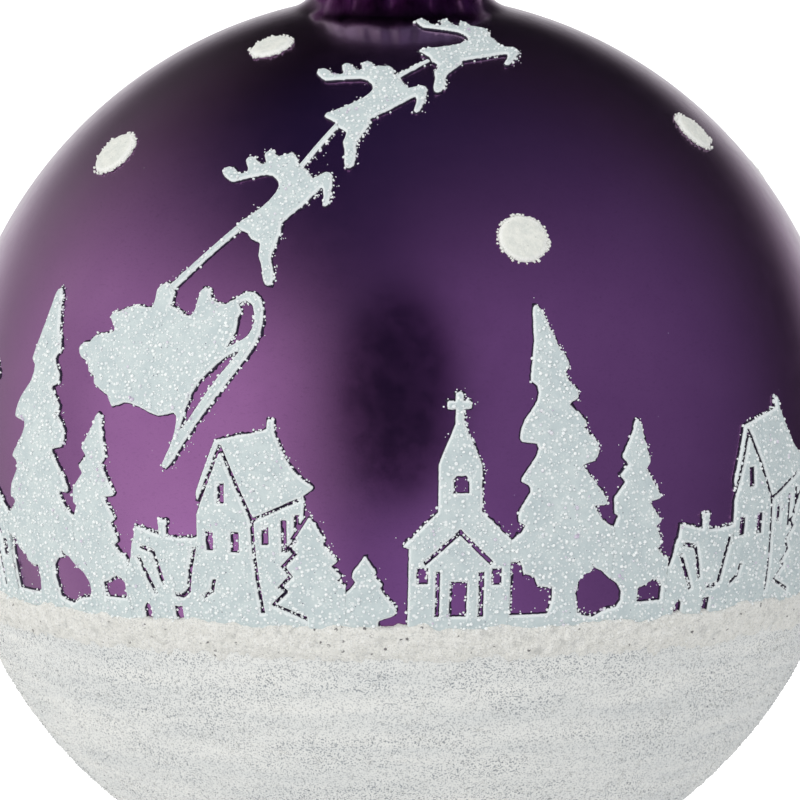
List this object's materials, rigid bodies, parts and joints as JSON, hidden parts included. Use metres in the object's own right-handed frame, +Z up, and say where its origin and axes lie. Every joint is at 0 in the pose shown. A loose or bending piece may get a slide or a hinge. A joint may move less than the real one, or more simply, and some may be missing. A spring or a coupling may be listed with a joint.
{
  "type": "christmas ball ornament",
  "caption": "Hanging glass ball with a raised glitter village, sleigh and reindeer, snow band and coat, and a stamped metal cap with a sprung wire eye.",
  "frame": {"origin": "where a hook bears on the wire inside the top of the hanger's eye", "axes": "+Z up along the ball's axis; -Y is the side that shows the sleigh and the church; the hanger's eye lies in the XZ plane"},
  "size_m": [0.101, 0.1009, 0.1151],
  "materials": {
    "wire": "bright drawn spring wire",
    "cap_metal": "bright stamped sheet",
    "glass": "clear blown glass",
    "silvering": "silver mirror film",
    "lacquer": "satin metallic purple lacquer",
    "glitter_print": "silver glitter paste with fine glass beads",
    "snow_spot": "thick cream paint",
    "snow_paste": "rough cream snow paste",
    "snow_grain": "fine white grit with dark sparkle"
  },
  "bodies": {
    "hanger": {"hanger": "wire"},
    "cap": {"cap": "cap_metal"},
    "ball": {"glass_ball": "glass", "silver_lining": "silvering", "lacquer_coat": "lacquer", "church": "glitter_print", "big_tree": "glitter_print", "medium_tree": "glitter_print", "cottage": "glitter_print", "tall_house": "glitter_print", "small_tree": "glitter_print", "tiny_tree": "glitter_print", "sleigh": "glitter_print", "rear_reindeer": "glitter_print", "middle_reindeer": "glitter_print", "lead_reindeer": "glitter_print", "reins": "glitter_print", "snow_dots": "snow_spot", "snow_bank": "snow_paste", "snow_coat": "snow_grain"}
  },
  "joints": [
    {"name": "cap_on_wire", "type": "slide", "parent": "hanger", "child": "cap", "axis": [0, 0, 1], "range_m": [0, 0.0025]},
    {"name": "ball_off_cap", "type": "slide", "parent": "cap", "child": "ball", "axis": [0, 0, 1], "range_m": [-0.026, 0]}
  ]
}
